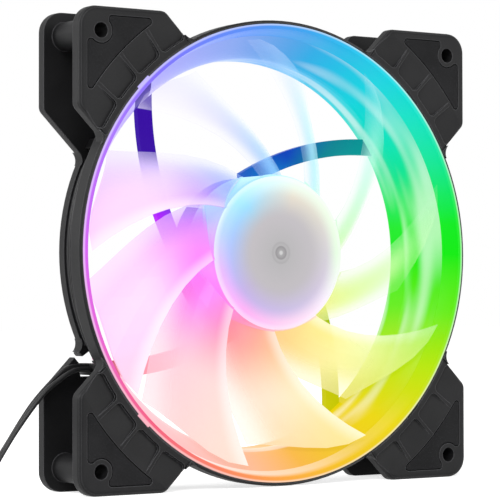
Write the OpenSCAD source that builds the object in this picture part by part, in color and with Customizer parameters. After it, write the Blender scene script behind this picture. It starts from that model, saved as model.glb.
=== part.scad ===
// Lit case fan of the 140 mm class. It stands on edge: X is across, Y runs from the intake
// face to the exhaust face, and Z is up. The origin is the middle of the frame, on the shaft axis.

/* [Frame] */
// Width and height of the frame over the ears
frame_w = 138.5; // [136.5:0.5:142]
// Depth of the frame from the intake face to the exhaust face
frame_depth = 25; // [24:0.5:30]
// Thickness of each ear
ear_t = 4; // [3:0.25:5]
// Width of each ear, measured across its diagonal
ear_band = 40.4; // [38:0.2:43]
// Radius of the frame's outer corners
corner_r = 6; // [4:0.5:8]
// Radius of the ends of the ears' long edges
ear_end_r = 3; // [1:0.5:5]
// Radius along the edges of the intake and exhaust faces
edge_c = 1.4; // [0.6:0.1:1.8]
// Radius of the fillets between the ears and the ring
root_r = 3.5; // [2:0.1:5]
// Distance between the screw holes
hole_spacing = 124.5; // [122:0.5:126]
// Diameter of the screw holes
hole_d = 4.4; // [3.5:0.1:5]
// Wall of the pillar round each screw hole
pillar_wall = 2; // [1.4:0.1:2.6]
// Depth of the front flange round the light ring
flange_t = 4.3; // [4:0.1:6]
// Thickness of the frame's bezel outside the light ring
bezel_t = 0.9; // [0.8:0.1:1.6]
// Wall of the frame's shell round the duct
shell_t = 1; // [0.8:0.1:1.4]
// Height of the rear flange above the shell
rear_rise = 1; // [0.6:0.1:2]
// Thickness of the rear flange
rear_flange_t = 3.5; // [3:0.1:4.5]

/* [Ear details] */
// Radius of the flat land round each screw hole
land_r = 3.9; // [3.5:0.1:4.2]
// Width of the rim outside the pads
pad_margin = 2.85; // [2.4:0.05:4]
// Distance from the bezel to the pads
pad_clear = 10.6; // [9.5:0.1:12]
// Thickness of the pads
pad_t = 1.5; // [1:0.1:2]
// Gap round each pad
pad_gap = 0.3; // [0.1:0.05:0.5]
// Radius of the pads' corners
pad_round = 0.8; // [0.4:0.1:1.2]
// Angle from one relief facet to the next
facet_pitch = 8.25; // [7.5:0.05:8.5]
// Flat land between two relief facets
facet_land = 1; // [0.6:0.1:1.4]
// Radius of the facets' corners beside the bezel
facet_round = 1.6; // [0.8:0.1:2]
// Width of a relief facet
facet_w = 8.6; // [7:0.1:9]
// Depth of a relief facet beside the bezel
facet_deep = 1.1; // [0.6:0.1:1.6]
// Distance from the bezel to the relief facets
facet_clear = 1.3; // [1:0.1:2]

/* [Duct] */
// Diameter of the duct's throat
bore_d = 118; // [117:0.5:119]
// Thickness of the duct wall
duct_wall = 1.2; // [1:0.1:1.5]
// How far the mouth flares out beyond the throat
flare_w = 6; // [5.5:0.1:6.4]
// Depth at which the flare runs out into the throat, from the intake face
flare_end = 16.5; // [14:0.5:18]
// Curve of the flare
flare_power = 1.6; // [1.2:0.1:2.2]
// Radial fit between the parts of the duct
fit = 0.15; // [0.1:0.01:0.2]

/* [Light ring] */
// Depth of the light ring
ring_h = 6.2; // [5.8:0.1:7]
// Wall of the light ring
ring_wall = 0.9; // [0.7:0.05:1.1]
// How far the ring's inside widens towards the intake face
ring_flare = 1.5; // [1:0.1:2]
// Thickness of the ring's rim
rim_t = 1.2; // [0.8:0.1:1.4]
// Width of a snap tab
tab_w = 4.8; // [3:0.2:7]
// How far a snap tab stands out
tab_out = 0.4; // [0.3:0.05:0.8]
// Number of light-emitting diodes
led_count = 18; // [12:1:24]
// Size of a diode along the ring and across it
led_size = 1.8; // [1.4:0.1:2]
// Thickness of a diode
led_t = 0.5; // [0.4:0.05:0.8]
// Thickness of the flexible strip that carries the diodes
strip_t = 0.2; // [0.15:0.05:0.3]

/* [Impeller] */
// Number of blades
blade_count = 9; // [7:1:11]
// Diameter of the hub
hub_d = 46.6; // [46.2:0.1:48]
// Wall of the hub
hub_wall = 1.5; // [1.2:0.1:1.6]
// Length of the hub
hub_len = 15; // [14:0.1:15.4]
// How far the hub's face lies behind the intake face
hub_set = 2; // [1.6:0.1:2.4]
// Height of the dome on the hub's face
hub_dome = 0.8; // [0.4:0.1:1]
// Radius round the hub's front edge
hub_round = 1.6; // [1:0.1:2]
// Distance round the hub that a blade covers from its front edge to its back edge
blade_run = 19.5; // [16:0.5:21]
// The same distance at a blade's tip
blade_tip_run = 28; // [20:0.5:30]
// Gap between a blade's tip and the duct
tip_gap = 1.2; // [0.9:0.1:1.6]
// How far the blades' front edges lie behind the intake face
blade_front = 2.3; // [2:0.1:3]
// How far the blades' back edges lie behind the hub at the tip
blade_back = 1.8; // [0.5:0.1:2.2]
// Thickness of a blade at its root
blade_root_t = 1.6; // [1.2:0.1:2]
// Thickness of a blade at its tip
blade_tip_t = 1; // [0.8:0.1:1.4]
// Height of a blade's curve over its chord
camber = 1.4; // [0.5:0.1:2]

/* [Motor] */
// Diameter of the shaft
shaft_d = 3; // [2.5:0.1:3.4]
// Wall of the bearing sleeve
sleeve_wall = 1.27; // [1:0.05:1.5]
// Wall of the bearing tube
tube_wall = 1.2; // [0.8:0.1:1.4]
// Wall of the steel rotor cup
yoke_wall = 1; // [0.8:0.1:1.2]
// Thickness of the ring magnet
magnet_t = 1.8; // [1.4:0.1:2.2]
// Gap between the magnet and the stator
air_gap = 0.6; // [0.4:0.05:0.8]
// Height of the stator's lamination stack
stack_h = 6; // [5:0.1:6.4]
// Height of the end turns of the windings
winding_h = 1.7; // [1.2:0.1:1.8]
// Diameter of the motor board
board_d = 38; // [34:0.5:40]
// Thickness of the motor board
board_t = 1.2; // [0.8:0.1:1.4]
// Diameter of the motor base
base_d = 46; // [44:0.5:47]
// Thickness of the motor base's floor
base_t = 2.2; // [2:0.1:2.6]
// Height of the wall round the motor base
base_wall_h = 2.6; // [2:0.1:2.8]
// Thickness of the wall round the motor base
base_wall_t = 1.4; // [1:0.1:1.6]
// Diameter of the blank label
label_d = 36; // [30:0.5:38]
// Thickness of the label
label_t = 0.3; // [0.2:0.05:0.4]

/* [Struts] */
// Width of a strut
strut_w = 5; // [4:0.1:6]
// Radius of a strut's curve
strut_r = 93; // [90:0.5:97]
// Height above the shaft at which a strut meets the duct
strut_top = 34.3; // [33:0.1:35]
// Where the crest of a strut's curve lies, from the shaft
strut_crest = 46.5; // [45:0.5:48]

/* [Leads] */
// Diameter of the motor's lead
fan_lead_d = 1.5; // [1.4:0.05:1.6]
// Diameter of the lighting lead
light_lead_d = 1.3; // [1.2:0.05:1.4]
// Diameter of each thin wire in the duct's groove
wire_d = 0.7; // [0.5:0.05:0.8]
// Turns in the coil of each lead, in two layers
coil_turns = 6; // [4:2:8]

/* [Hidden] */
$fn = 96;
eps = 0.01;
snug = 0.02;
half_w = frame_w / 2;
y_front = -frame_depth / 2;
y_back = frame_depth / 2;
hole_c = hole_spacing / 2;
pillar_r = hole_d / 2 + pillar_wall;

// Duct: radii and depths
bore_r = bore_d / 2;
mouth_r = bore_r + flare_w;
y_joint = y_front + ring_h;
y_throat = y_front + flare_end;
joint_gap = 0.1;
duct_r = bore_r + duct_wall;
shell_in_r = duct_r + fit;
shell_r = shell_in_r + shell_t;
rear_flange_r = shell_r + rear_rise;
y_rear_flange = y_back - rear_flange_t;

// Light ring and the diode chamber behind its rim
y_rim = y_front + rim_t;
y_flange = y_front + flange_t;
strip_margin = 0.25;
y_led = y_flange - led_size - strip_margin - 0.05;
led_clear = 0.1;
function ring_in(y) = mouth_r + ring_flare * (y_joint - y) / ring_h;
chamber_r = ring_in(y_led) + ring_wall + led_clear + led_t + strip_t + fit;
ledge = 0.35;
rim_r = chamber_r + ledge;
bezel_r = rim_r + bezel_t;
shoulder_t = 1.2;
shoulder_r = ring_in(y_flange) + ring_wall + fit;

// Wall of the duct at a depth: a bell mouth that runs out into the throat
function duct_in(y) = y >= y_throat ? bore_r
    : bore_r + flare_w * pow((y_throat - max(y, y_joint)) / (y_throat - y_joint), flare_power);
flare_steps = 8;
flare_ys = [for (i = [0 : flare_steps]) y_joint + (y_throat - y_joint) * i / flare_steps];

// Motor stack, from the base forwards
y_base = y_back - base_t;
y_base_wall = y_base - base_wall_h;
base_r = base_d / 2;
sleeve_bore_r = shaft_d / 2 + 0.03;
sleeve_r = sleeve_bore_r + sleeve_wall;
tube_r = sleeve_r + tube_wall;
tube_boss_wall = 1.6;
tube_boss_h = 1.6;
board_gap = 0.7;
y_board = y_base - tube_boss_h - board_t;
bobbin_t = 0.7;
y_stack_back = y_board - board_gap - winding_h - bobbin_t;
y_stack_front = y_stack_back - stack_h;
hub_r = hub_d / 2;
hub_in_r = hub_r - hub_wall;
y_hub = y_front + hub_set;
y_hub_back = y_hub + hub_len;
y_hub_in = y_hub + hub_wall;
yoke_r = hub_in_r - 0.03;
yoke_in_r = yoke_r - yoke_wall;
magnet_r = yoke_in_r - 0.02;
magnet_in_r = magnet_r - magnet_t;
stator_r = magnet_in_r - air_gap;
tube_front = y_stack_front - 2.6;
shaft_boss_r = shaft_d / 2 + 2.2;
y_boss = y_hub_in + yoke_wall + 1.6;
y_shaft = y_hub_in - 0.4;
shaft_end = y_base - 0.75;
clip_t = 0.4;
clip_gap = 0.3;
sleeve_back = shaft_end - 0.35 - clip_t - clip_gap;

// Blade edges: the front edge sweeps forwards round the hub as it goes out
sweep_mid_r = 40;
sweep_step = 20;
function blade_sweep(r) = let (out = (r - sweep_mid_r) / sweep_step) 121.9 + 17.65 * out - 2.02 * out * out;
blade_steps = 7;
chord_steps = 6;
y_blade = y_front + blade_front;
blade_root_r = hub_r - hub_wall / 2;

// Leads: the routes are chosen by hand, and each ends where its coil begins
floor_z = -half_w;
fan_route = [[-55.6, 5, -34], [-59.6, 5, -34], [-63, 4.9, -35], [-66.6, 4.8, -37.2], [-70.2, 4.6, -39.6],
    [-73, 4.5, -42.3], [-75.8, 4.4, -45.4], [-78.6, 4.3, -48.8], [-81.4, 4, -52.2], [-84, 3.6, -55.6],
    [-86.6, 3, -59], [-88.9, 1.7, -62.1], [-90.7, -0.7, -64.8], [-91.9, -3.9, -66.7], [-93.6, -7.3, -67.7],
    [-96.2, -10.3, -67.95], [-99.6, -12.3, -67.95], [-103.6, -13.4, -67.95], [-107.8, -14.4, -67.95],
    [-112, -15.4, -67.95], [-116.2, -16.4, -67.95], [-120.4, -17.4, -67.95], [-124.5, -18.1, -67.95]];
light_route = [[-55.6, 7, -33], [-59.4, 7, -33], [-62.4, 7, -33.6], [-65.2, 6.9, -35.4], [-69, 6.7, -38.6],
    [-71.6, 6.5, -41], [-74, 6.4, -43.5], [-76.6, 6.4, -46.8], [-79, 6.5, -50.2], [-81.4, 6.7, -53.8],
    [-83.8, 7, -57.4], [-86.4, 7.4, -60.8], [-89.2, 7.9, -64], [-92.2, 8.3, -66.5], [-95, 8.5, -67.8],
    [-98.4, 8.5, -68.05], [-101.7, 8.5, -68.05]];
tube_sides = 8;
coil_sides = 6;
rings_per_turn = 24;
coil_gap = 0.55;
// Radius of a coil at the middle of its turns, in diameters of the lead
coil_mid = 5.1;
// The fan lead passes to the left of the light lead's coil, and its own coil turns to the right
fan_coil_side = -1;
light_coil_side = 1;
tie_t = 0.4;
tie_w = 2.6;
tie_clear = 0.15;
tail_runs = 8;
gland_x = fan_route[0][0];
gland_top = -32.3;
gland_h = 3.4;
gland_front = 2.8;

// ---- helpers ----
// Turns a profile of [radius, depth] about the shaft axis
module about_shaft(angle = 360, start = 0) {
    rotate([-90, 0, 0]) rotate([0, 0, -start - angle]) rotate_extrude(angle = angle) children();
}

// A flat shape in X and Z, from depth y to depth y + t
module plate(y, t) {
    translate([0, y + t, 0]) rotate([90, 0, 0]) linear_extrude(t) children();
}

// A round bar along the shaft direction
module bar(r, y0, y1) {
    translate([0, y0, 0]) rotate([-90, 0, 0]) cylinder(r = r, h = y1 - y0);
}

// A direction in X and Z, by its angle from +X
function facing(angle) = [cos(angle), sin(angle)];

// The same thing in all four corners, drawn for the corner at +X and +Z
module corners() {
    for (sx = [-1, 1]) for (sz = [-1, 1]) scale_sign(sx, sz) children();
}

module scale_sign(sx, sz) {
    mirror([sx < 0 ? 1 : 0, 0, 0]) mirror([0, 0, sz < 0 ? 1 : 0]) children();
}

// A tube swept along points, as one closed polyhedron
function unit(v) = v / norm(v);
function along(p, i) = unit(p[min(i + 1, len(p) - 1)] - p[max(i - 1, 0)]);
module tube(p, r, n) {
    function ring(i, t) = let (s = unit(cross(t, [0, 0, 1])), u = cross(s, t))
        [for (k = [0 : n - 1]) p[i] + r * cos(360 * k / n + 90) * s + r * sin(360 * k / n + 90) * u];
    last = len(p) - 1;
    points = [for (i = [0 : last]) each ring(i, along(p, i))];
    sides = [for (i = [0 : last - 1], k = [0 : n - 1]) each
        [[i * n + k, i * n + (k + 1) % n, (i + 1) * n + k],
         [i * n + (k + 1) % n, (i + 1) * n + (k + 1) % n, (i + 1) * n + k]]];
    start = [for (k = [1 : n - 2]) [0, k + 1, k]];
    end = [for (k = [1 : n - 2]) [last * n, last * n + k, last * n + k + 1]];
    polyhedron(points = points, faces = concat(sides, start, end));
}

// ---- frame ----
// Outline of one ear, in X and Z
edge_reach = ear_band / sqrt(2);
ear_end_c = [half_w - ear_end_r, half_w - edge_reach + ear_end_r * tan(22.5)];
module ear_outline() {
    inner = bore_r * 0.8;
    near = half_w - edge_reach;
    down_right = [1, -1] / sqrt(2);
    difference() {
        polygon([[inner, inner - edge_reach], [half_w, near], [half_w, half_w], [near, half_w],
            [inner - edge_reach, inner]]);
        translate([half_w - corner_r, half_w - corner_r]) difference() {
            square(corner_r + 1);
            circle(r = corner_r);
        }
        for (flip = [0, 1]) mirror([flip, -flip]) difference() {
            polygon([ear_end_c + ear_end_r * down_right, ear_end_c + (ear_end_r + 1) * down_right,
                [half_w + 1, near - 1], [half_w + 1, ear_end_c[1]], [half_w, ear_end_c[1]]]);
            translate(ear_end_c) circle(r = ear_end_r);
        }
    }
}

root_sink = 0.12;
// Fillet between an ear's long edge and a ring of radius r, for the lower edge of the ear at +X and +Z
module root_fillet(r) {
    k = edge_reach + root_r * sqrt(2);
    s = sqrt(2 * pow(r + root_r, 2) - k * k);
    c = [(s + k) / 2, (s - k) / 2];
    meet = sqrt(2 * r * r - edge_reach * edge_reach);
    difference() {
        polygon([c * r / (r + root_r), c + root_r * [-1, 1] / sqrt(2),
            [(meet + edge_reach) / 2 - 0.4, (meet - edge_reach) / 2]]);
        translate(c) circle(r = root_r, $fn = 48);
    }
}

// Rounding along an edge: how far it is drawn in, for each height above the face
edge_steps = [for (a = [0 : 30 : 90]) edge_c * [1 - cos(a), 1 - sin(a)]];

// Cross-section of a block between both faces with rounded edges, as [half width, depth]
function rounded_section(w) = let (e = edge_steps, back = [for (i = [len(e) - 1 : -1 : 0]) e[i]])
    concat([for (q = e) [w - q[0], y_front + q[1]]], [for (q = back) [q[0] - w, y_front + q[1]]],
        [for (q = e) [q[0] - w, y_back - q[1]]], [for (q = back) [w - q[0], y_back - q[1]]]);

// Rounds the edges of an arc of radius r between two angles, at both faces
module arc_edges(c, r, a0, a1) {
    lead = (edge_steps[0] - edge_steps[1]) / 2;
    for (side = [0, 1]) mirror([0, side, 0]) translate([c[0], 0, c[1]]) about_shaft(a1 - a0, a0)
        polygon(concat([[r - lead[0], y_front + edge_c + lead[1]]],
            [for (e = edge_steps) if (e[0] > 0) [r - e[0], y_front + e[1]]],
            [[r - edge_c, y_front - 1], [r + edge_c, y_front - 1],
             [r + edge_c, y_front + edge_c + lead[1]]]));
}

// One ear pair of the corner at +X and +Z, with all its outer edges rounded
module ear_pair() {
    difference() {
        intersection() {
            for (y = [y_front, y_back - ear_t]) plate(y, ear_t) ear_outline();
            rotate([0, -45, 0]) rotate([90, 0, 90]) linear_extrude(frame_w) rotate(90) mirror([0, 1])
                polygon(rounded_section(ear_band / 2));
        }
        arc_edges([half_w - corner_r, half_w - corner_r], corner_r, 0, 90);
        arc_edges(ear_end_c, ear_end_r, -45, 0);
        arc_edges([ear_end_c[1], ear_end_c[0]], ear_end_r, 90, 135);
    }
    for (flip = [0, 1]) mirror([flip, 0, -flip]) {
        plate(y_front, ear_t) root_fillet(bezel_r - root_sink);
        plate(y_back - ear_t, ear_t) root_fillet(rear_flange_r - root_sink);
    }
}

// Outline of one pad, made larger all round by g
module pad_outline(g = 0) {
    inner = hole_c - land_r / sqrt(2);
    side = half_w - pad_margin;
    cut_r = bezel_r + pad_clear;
    middle = [side, inner] - pad_round * [1, 1];
    tip = [middle[0], sqrt(pow(cut_r + pad_round, 2) - pow(middle[0], 2))];
    difference() {
        translate([bore_r / 2, bore_r / 2]) square(side + g - bore_r / 2);
        circle(r = cut_r - g);
        translate([hole_c, hole_c]) circle(r = land_r - g);
        translate([inner + g, inner + g]) square(frame_w);
        for (flip = [0, 1]) mirror([flip, -flip]) {
            translate(middle) difference() {
                square(pad_round + 1);
                circle(r = pad_round + g);
            }
            difference() {
                polygon([tip, tip * (cut_r - 2) / norm(tip),
                    [side + 1, sqrt(cut_r * cut_r - side * side) - 3], [side + 1, tip[1]]]);
                translate(tip) circle(r = pad_round + g);
            }
        }
    }
}

// One relief facet, about the direction middle: deepest beside the bezel, and flush beside the pad
module facet_cut(middle) {
    inner = bezel_r + facet_clear;
    half = facet_pitch / 2 - facet_land / inner * 90 / PI;
    far = (inner + facet_w + 0.5) / cos(half);
    round_at = inner + facet_round;
    turn = half - asin(facet_round / round_at);
    foot = sqrt(round_at * round_at - facet_round * facet_round);
    rotate([0, -middle, 0]) intersection() {
        plate(y_front - 1, facet_deep + 2) difference() {
            polygon([[0, 0], far * facing(-half), far * facing(half)]);
            circle(r = inner);
            for (side = [0, 1]) mirror([0, side]) difference() {
                polygon([round_at * facing(turn), (inner - 1) * facing(turn), (inner - 1) * facing(half + 1),
                    foot * facing(half + 1), foot * facing(half)]);
                translate(round_at * facing(turn)) circle(r = facet_round, $fn = 48);
            }
        }
        translate([inner + facet_w, y_front, -facet_w]) rotate([0, 0, -atan(facet_deep / facet_w)])
            translate([-2 * facet_w, -2 * facet_w, 0]) cube([3 * facet_w, 2 * facet_w, 2 * facet_w]);
    }
}

// Profile of the frame's shell, as [radius, depth]
module shell_profile() {
    polygon(concat(
        [[rim_r, y_front], [bezel_r - edge_c / 2, y_front], [bezel_r, y_front + edge_c / 2],
         [bezel_r, y_flange + shoulder_t], [shoulder_r + shell_t + 0.6, y_flange + shoulder_t]],
        [for (y = flare_ys) if (y > y_flange + shoulder_t + 0.4)
            [duct_in(y) + duct_wall + fit + shell_t, y]],
        [[shell_r, y_rear_flange], [rear_flange_r, y_rear_flange], [rear_flange_r, y_back - edge_c / 2],
         [rear_flange_r - edge_c / 2, y_back], [shell_in_r, y_back]],
        [for (i = [flare_steps : -1 : 0]) if (flare_ys[i] > y_flange + shoulder_t - 0.3)
            [duct_in(flare_ys[i]) + duct_wall + fit, flare_ys[i]]],
        [[shoulder_r, y_joint], [shoulder_r, y_flange], [chamber_r, y_flange], [chamber_r, y_rim],
         [rim_r, y_rim]]));
}

// Slot in the lower left rear ear, where the wires come through, and its mouth between two hooks
slot_pts = [[-51.8, -27.2], [-56.7, -30.5], [-57.6, -32.1], [-58.1, -32.8], [-57, -36.2], [-50, -36.2]];
mouth_pts = [[-56.4, -30.3], [-58.4, -28.4], [-59.8, -29.8], [-57.5, -32.3]];
slot_depth = 5.2;

module face_block() {
    translate([0, 0, -frame_w]) linear_extrude(2 * frame_w) polygon(rounded_section(half_w));
}

// Closes the frame in with rounded edges along its four sides
module face_bound() {
    intersection() {
        face_block();
        rotate([0, 90, 0]) face_block();
    }
}

module outer_frame() {
    color("#37383a") difference() {
        union() {
            intersection() {
                union() {
                    difference() {
                        corners() ear_pair();
                        bar(bezel_r - bezel_t / 2, y_front - 1, 0);
                        bar(shell_r - shell_t / 2, 0, y_back + 1);
                    }
                    corners() translate([hole_c, 0, hole_c])
                        bar(pillar_r, y_front + ear_t - eps, y_back - ear_t + eps);
                }
                face_bound();
            }
            about_shaft() shell_profile();
        }
        corners() translate([hole_c, 0, hole_c]) bar(hole_d / 2, y_front - 1, y_back + 1);
        corners() for (i = [-1.5 : 1 : 1.5]) facet_cut(45 + i * facet_pitch);
        corners() plate(y_front - 1, pad_t + 1) pad_outline(pad_gap);
        corners() plate(y_back - pad_t, pad_t + 1) pad_outline(pad_gap);
        for (a = [45 : 90 : 315]) rotate([0, -a, 0]) translate([rim_r - 1, y_front - 1, -tab_w / 2 - fit])
            cube([1 + tab_out + fit, rim_t + 1, tab_w + 2 * fit]);
        plate(y_back - slot_depth, slot_depth + 1) union() {
            polygon(slot_pts);
            polygon(mouth_pts);
        }
        ribbon_path(ribbon_w + 2 * fit, y_back - ribbon_t - fit, ribbon_t + 1);
        rotate([0, -outlet_angle, 0]) translate([shell_in_r - 1, outlet_y, 0]) rotate([0, 90, 0])
            cylinder(r = outlet_hole_r, h = shell_t + rear_rise + 2, $fn = 24);
    }
}

module front_pads() {
    color("#3a3b3c") corners() plate(y_front, pad_t) pad_outline();
}

module rear_pads() {
    color("#3a3b3c") corners() plate(y_back - pad_t, pad_t) pad_outline();
}

// ---- light ring ----
module light_ring() {
    color("#b9e6ff") union() {
        about_shaft() polygon([[ring_in(y_front), y_front], [rim_r - fit, y_front], [rim_r - fit, y_rim],
            [ring_in(y_rim) + ring_wall, y_rim], [mouth_r + ring_wall, y_joint], [mouth_r, y_joint]]);
        for (a = [45 : 90 : 315]) rotate([0, -a, 0]) translate([rim_r - 1, y_front, -tab_w / 2])
            cube([1 + tab_out, rim_t, tab_w]);
    }
}

module led_strip() {
    strip_r = chamber_r - fit / 2;
    color("#f0efe8") about_shaft() translate([strip_r - strip_t, y_led - strip_margin])
        square([strip_t, led_size + 2 * strip_margin]);
}

module led_chips() {
    chip_r = chamber_r - fit / 2 - strip_t - 0.02;
    color("#fffbe0") for (i = [0 : led_count - 1]) rotate([0, 360 * i / led_count, 0])
        translate([chip_r - led_t, y_led, -led_size / 2]) cube([led_t - 0.02, led_size, led_size]);
}

// ---- duct and motor mount ----
module inner_duct() {
    ys = concat([y_joint + joint_gap], [for (i = [1 : flare_steps]) flare_ys[i]]);
    color("#cfe9f5") difference() {
        about_shaft() polygon(concat(
            [for (y = ys) [duct_in(y), y]], [[bore_r, y_back], [duct_r, y_back]],
            [for (i = [flare_steps : -1 : 0]) [duct_in(ys[i]) + duct_wall, ys[i]]]));
        for (k = [0 : 3]) rotate([0, 90 * k, 0]) plate(y_base - fit, base_t + fit + 1)
            strut_outline(strut_w + 2 * fit);
        plate(y_back - slot_depth, slot_depth + 1) polygon(slot_pts);
    }
}

// One strut seen from the front: a band along a circle, from inside the base out to the duct
module strut_outline(w, reach = duct_r, inside = 0) {
    middle = strut_top - strut_r;
    intersection() {
        translate([strut_crest, middle]) difference() {
            circle(r = strut_r + w / 2, $fn = 180);
            circle(r = strut_r - w / 2, $fn = 180);
        }
        translate([-inside, 10]) square([frame_w, 40]);
        circle(r = reach, $fn = 180);
    }
}

ribbon_w = 3;
ribbon_t = 0.8;
ribbon_hole_r = 1.2;
ribbon_wall_gap = 0.1;
ribbon_hole_at = base_r - base_wall_t - ribbon_wall_gap - ribbon_hole_r;
ribbon_start_r = ribbon_hole_at - 1;
ribbon_angle = 278;
ribbon_lap = 3;
ribbon_end_r = rear_flange_r + 2.2;
// The ribbon's groove follows the lower left strut from the base out to the slot
module ribbon_path(w, y, t, inner = ribbon_start_r) {
    rotate([0, 180, 0]) plate(y, t) difference() {
        strut_outline(w, ribbon_end_r, 5);
        circle(r = inner);
    }
}

module ribbon_hole(y0, y1) {
    rotate([0, -ribbon_angle, 0]) translate([ribbon_hole_at, 0, 0]) bar(ribbon_hole_r, y0, y1);
}

module motor_mount() {
    color("#4a6fa5") difference() {
        union() {
            bar(base_r, y_base, y_back);
            about_shaft() translate([base_r - base_wall_t, y_base_wall])
                square([base_wall_t, base_wall_h + eps]);
            bar(tube_r + tube_boss_wall, y_base - tube_boss_h, y_base + eps);
            for (k = [0 : 3]) rotate([0, 90 * k, 0]) plate(y_base, base_t) strut_outline(strut_w);
            for (a = [45 : 90 : 315]) rotate([0, -a, 0]) translate([board_d / 2 - 2, 0, 0])
                bar(1.2, y_board + board_t, y_base + eps);
        }
        bar(tube_r + snug, y_base - tube_boss_h - 1, y_base);
        bar(label_d / 2 + fit, y_back - label_t, y_back + 1);
        ribbon_path(ribbon_w + 2 * fit, y_back - ribbon_t - fit, ribbon_t + 1);
        ribbon_hole(y_base_wall - 1, y_back + 1);
    }
}

module rear_label() {
    color("#c9ccce") difference() {
        bar(label_d / 2, y_back - label_t, y_back);
        ribbon_path(ribbon_w + 2 * fit, y_back - ribbon_t - fit, ribbon_t + 1);
    }
}

// ---- motor ----
module motor_board() {
    color("#2f6b3c") difference() {
        bar(board_d / 2, y_board, y_board + board_t);
        bar(tube_r + fit, y_board - 1, y_board + board_t + 1);
        ribbon_hole(y_board - 1, y_board + board_t + 1);
    }
}

// Driver chip, position sensor and two small parts, all on the front of the board
chip_t = 0.6;
driver_l = 3;
driver_w = 2.4;
driver_inset = 6;
sensor_w = 1.6;
sensor_inset = 3.4;
small_w = 1;
small_inset = 5;
module board_chip(angle, inset, l, w) {
    rotate([0, angle, 0]) translate([board_d / 2 - inset - l / 2, y_board - chip_t, -w / 2])
        cube([l, chip_t, w]);
}

module board_chips() {
    color("#222222") {
        board_chip(135, driver_inset, driver_l, driver_w);
        board_chip(45, sensor_inset, sensor_w, sensor_w);
        board_chip(220, small_inset, sensor_w, small_w);
        board_chip(232, small_inset, sensor_w, small_w);
    }
}

module bearing_tube() {
    color("#b08d4f") difference() {
        bar(tube_r, tube_front, y_base);
        bar(sleeve_r, tube_front - 1, y_base + 1);
    }
}

module bearing_sleeve() {
    color("#a9773f") difference() {
        bar(sleeve_r - snug, tube_front + 0.9, sleeve_back);
        bar(sleeve_bore_r, tube_front, y_base);
    }
}

module oil_seal() {
    color("#30302f") difference() {
        bar(sleeve_r - snug, tube_front + 0.2, tube_front + 0.8);
        bar(shaft_d / 2 + 0.3, tube_front, tube_front + 1);
    }
}

module thrust_pad() {
    color("#e6e2d6") bar(sleeve_r - snug, shaft_end + 0.25, y_base);
}

bobbin_over = 0.4;
tooth_w = 5;
shoe_t = 1.5;
core_r = 7;
module stator_outline(grow = 0) {
    difference() {
        union() {
            circle(r = core_r + grow);
            for (k = [0 : 3]) rotate(90 * k) {
                translate([0, -tooth_w / 2 - grow]) square([stator_r - shoe_t, tooth_w + 2 * grow]);
                intersection() {
                    difference() {
                        circle(r = stator_r);
                        circle(r = stator_r - shoe_t);
                    }
                    rotate(-38) square(stator_r);
                    rotate(-52) square(stator_r);
                }
            }
        }
        circle(r = tube_r + snug);
    }
}

module stator_core() {
    color("#8a8d92") plate(y_stack_front, stack_h) stator_outline();
}

module coil_bobbins() {
    color("#e9e4d4") for (y = [y_stack_front - bobbin_t, y_stack_back])
        plate(y, bobbin_t) stator_outline(bobbin_over);
}

module stator_coils() {
    long = stator_r - shoe_t - core_r - 1.6;
    color("#b4622a") for (k = [0 : 3]) rotate([0, 90 * k, 0]) translate([core_r + 0.8, 0, 0]) difference() {
        translate([0, y_stack_front - bobbin_t - winding_h, -tooth_w / 2 - 1.9])
            cube([long, stack_h + 2 * bobbin_t + 2 * winding_h, tooth_w + 3.8]);
        translate([-1, y_stack_front - bobbin_t, -tooth_w / 2 - 0.45])
            cube([long + 2, stack_h + 2 * bobbin_t, tooth_w + 0.9]);
    }
}

// ---- rotor ----
// Depth of a blade's front and back edge at a radius, and its tip radius at a share of the chord
y_tip_back = y_hub_back + blade_back;
y_root_back = y_hub_back - 0.3;
function blade_y(r, s) =
    let (back = y_root_back + (y_tip_back - y_root_back) * (r - hub_r) / (bore_r - hub_r))
    y_blade + (back - y_blade) * s;
function tip_r(s) = duct_in(y_blade + (y_tip_back - y_blade) * s) - tip_gap;
// A blade widens slowly from its root, then fast towards its tip
blade_widening = 3;
function run_at(r) = blade_run
    + (blade_tip_run - blade_run) * pow((r - blade_root_r) / (bore_r - blade_root_r), blade_widening);
function blade_point(u, s, side) =
    let (r = blade_root_r + (tip_r(s) - blade_root_r) * u,
        run = run_at(r),
        turn = blade_sweep(r) - s * run / r * 180 / PI,
        depth = blade_y(r, 1) - blade_y(r, 0),
        slope = unit([depth, run]),
        half_t = (blade_root_t + (blade_tip_t - blade_root_t) * u) / 2 * (0.3 + 0.7 * sin(180 * s)),
        off = -camber * sin(180 * s) + side * half_t,
        y = blade_y(r, s) + off * slope[1],
        a = turn + off * slope[0] / r * 180 / PI)
    [r * cos(a), y, r * sin(a)];

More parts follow.
